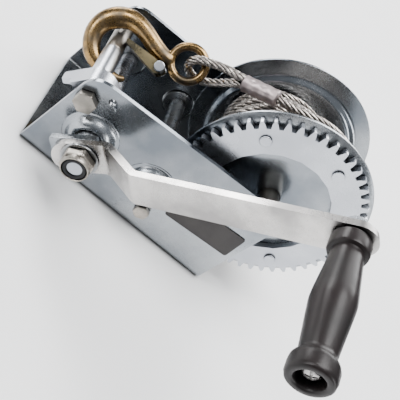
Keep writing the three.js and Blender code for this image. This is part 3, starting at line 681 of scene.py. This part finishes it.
# ---- grip ----------------------------------------------------------------------------------
# Moulded in black plastic in two halves, so that a fine seam runs down each side. It is waisted
# at its outer end, before a hollow collar, and turns freely on a bolt through the arm's end.
arm_turn, arm_tilt, grip_reach = math.radians(47), math.radians(11.4), 0.15616
arm_standoff = 0.0379
seam_half_width, seam_rise, seam_from, seam_to, seam_least_radius = 0.00035, 1.02, -0.085, -0.002, 0.0078
black_plastic = surface_finish(
    "black_plastic", ((0.012, 0.009, 0.009), (0.006, 0.005, 0.005)), 60, 1600, (0.30, 0.46),
    metallic=0.0, grain_depth=0.00006,
)
grip_height = half_width + arm_standoff + math.tan(arm_tilt) * grip_reach
grip_place = (
    Matrix.Translation(crank_axis) @ Matrix.Rotation(-arm_turn, 4, "Y")
    @ Matrix.Translation((grip_reach, -grip_height, 0)) @ Matrix.Rotation(-arm_tilt, 4, "Z")
)
grip_outline = [(radius / 1000, -along / 1000) for radius, along in (
    (4.4, 1), (9.3, 1), (10.2, 1.4), (10.7, 2.4), (10.7, 9.2), (10.3, 10.2), (9.3, 10.6), (8.45, 11.0),
    (8.3, 12.2), (8.5, 14), (9.1, 21), (9.9, 29), (10.8, 38), (11.0, 41.5), (10.9, 44.5), (10.2, 53),
    (9.3, 63), (8.6, 71.5), (8.9, 74), (10.4, 75.6), (11.1, 76.8), (11.4, 78.5), (11.4, 83.4),
    (11.0, 85.2), (10.0, 86), (7.9, 86), (7.1, 85.4), (6.8, 84), (6.6, 77.6), (4.4, 77.2),
)]
grip_shape = turned_shape(grip_outline, 96)
for vert in grip_shape.verts:
    on_seam = abs(vert.co.z) < seam_half_width and seam_from < vert.co.y < seam_to
    if on_seam and math.hypot(vert.co.x, vert.co.z) > seam_least_radius:
        bmesh.ops.scale(grip_shape, vec=(seam_rise, 1, 1), verts=[vert])
bmesh.ops.transform(grip_shape, verts=grip_shape.verts, matrix=grip_place)
finish_piece(grip_shape, "moulded_grip", black_plastic, "crank_grip")


# ---- grip's bolt ---------------------------------------------------------------------------
# A long zinc plated screw that the grip turns on. Its domed head shows in the hollow end of the
# grip, and has a cross cut in it: a slot right over the head and a shorter one through the first.
slots_along = -0.0834
slot_sizes = ((0.0012, 0.0030, 0.0120), (0.0056, 0.0024, 0.0011))
bolt_shape = turned_shape([
    (0, 0.0115), (0.0038, 0.0115), (0.0038, -0.0784), (0.0054, -0.0784), (0.0054, -0.0800),
    (0.0046, -0.0818), (0.0030, -0.0829), (0.0012, -0.0833), (0, -0.0833),
], 48)
bmesh.ops.transform(bolt_shape, verts=bolt_shape.verts, matrix=grip_place)
grip_bolt = finish_piece(bolt_shape, "grip_screw", pale_zinc, "grip_bolt")
slot_shape = bmesh.new()
for size in slot_sizes:
    block = bmesh.ops.create_cube(slot_shape, size=1)
    bmesh.ops.scale(slot_shape, vec=size, verts=block["verts"])
bmesh.ops.translate(slot_shape, vec=(0, slots_along, 0), verts=slot_shape.verts)
bmesh.ops.transform(slot_shape, verts=slot_shape.verts, matrix=grip_place)
slot_mesh = bpy.data.meshes.new("slot_cutter")
slot_shape.to_mesh(slot_mesh)
slot_shape.free()
slot_cutter = link_mesh("slot_cutter", slot_mesh)
slotting = grip_bolt.modifiers.new("slot", "BOOLEAN")
slotting.object = slot_cutter
slotting.use_self = True
bpy.context.view_layer.update()
cut_head = bpy.data.meshes.new_from_object(grip_bolt.evaluated_get(bpy.context.evaluated_depsgraph_get()))
grip_bolt.modifiers.clear()
grip_bolt.data = cut_head
bpy.data.objects.remove(slot_cutter)


# ---- pawl ----------------------------------------------------------------------------------
# Folded from plated sheet into a saddle over its sleeve, with a flank for the thumb and a catch
# that drops into the ratchet. It swings on the bolt between the side plates.
pawl_edge = 0.0006
finished_copy("pawl", gear_zinc, pawl_edge)


# ---- rating label --------------------------------------------------------------------------
# A blank film of dark plastic, stuck on the near side plate.
label_edge = 0.00015
label_film = surface_finish(
    "label_film", ((0.030, 0.027, 0.027), (0.045, 0.041, 0.040)), 60, 1500, (0.35, 0.55), metallic=0.0,
)
finished_copy("rating_label", label_film, label_edge)


# ---- bolts, shafts, bushes and springs -----------------------------------------------------
# Plated bolts, nuts and sheet wheels, and bare steel shafts, pinions, bushes and spacers. They
# hold the drum, the pawl and the gears between the side plates. Each keeps its own shape, with
# its edges broken by a fine radius.
fastener_edge, small_edge = 0.0006, 0.0002
rest_finishes = {"zinc_plate": bright_zinc, "yellow_zinc": yellow_zinc, "turned_steel": turned_steel}
for node, slot in slots.items():
    if frame["nodes"][node].hide_render:
        continue
    if "bolt" in node or "axle" in node:
        finished_copy(node, bolt_zinc, fastener_edge)
    else:
        finished_copy(node, rest_finishes[slot], small_edge)


# ---- studio --------------------------------------------------------------------------------
# A wide pale floor of paper, lit by soft panels: a broad one overhead, one behind on each side,
# and narrower ones at the left and the right. The sky is pale overhead and dark at the horizon.
floor_shape = bmesh.new()
bmesh.ops.create_grid(floor_shape, x_segments=1, y_segments=1, size=6)
floor_mesh = bpy.data.meshes.new("floor")
floor_shape.to_mesh(floor_mesh)
floor_shape.free()
floor = link_mesh("floor", floor_mesh)
floor_mesh.materials.append(surface_finish(
    "floor_paper", ((0.95, 0.95, 0.95), (0.93, 0.93, 0.93)), 4, 300, (0.7, 0.8), metallic=0.0,
))


def soft_light(name, place, width, height, power):
    """A panel of light in watts, which faces the middle of the floor."""
    light = bpy.data.lights.new(name, "AREA")
    light.shape = "RECTANGLE"
    light.size = width
    light.size_y = height
    light.energy = power
    lamp = bpy.data.objects.new(name, light)
    bpy.context.scene.collection.objects.link(lamp)
    lamp.location = place
    lamp.rotation_mode = "QUATERNION"
    lamp.rotation_quaternion = (-Vector(place)).to_track_quat("-Z", "Y")


soft_light("overhead", (-0.1, 0.1, 1.7), 1.3, 1.0, 54)
soft_light("behind", (0.75, 1.45, 1.15), 1.5, 0.8, 40)
soft_light("behind_left", (-1.1, 1.4, 0.65), 0.9, 0.6, 26)
soft_light("left", (-1.5, -0.5, 1.0), 0.4, 1.2, 22)
soft_light("right", (1.3, -0.9, 0.6), 0.3, 0.9, 12)
world = bpy.data.worlds.new("studio")
bpy.context.scene.world = world
world.use_nodes = True
sky_nodes, sky_links = world.node_tree.nodes, world.node_tree.links
sky_place = sky_nodes.new("ShaderNodeTexCoord")
sky_split = sky_nodes.new("ShaderNodeSeparateXYZ")
sky_ramp = sky_nodes.new("ShaderNodeValToRGB")
horizon, zenith = sky_ramp.color_ramp.elements
horizon.position = 0.05
horizon.color = (0.045, 0.05, 0.058, 1)
zenith.position = 0.75
zenith.color = (0.50, 0.52, 0.55, 1)
sky_links.new(sky_place.outputs["Generated"], sky_split.inputs["Vector"])
sky_links.new(sky_split.outputs["Z"], sky_ramp.inputs["Fac"])
sky_links.new(sky_ramp.outputs["Color"], sky_nodes["Background"].inputs["Color"])
sky_nodes["Background"].inputs["Strength"].default_value = 0.8
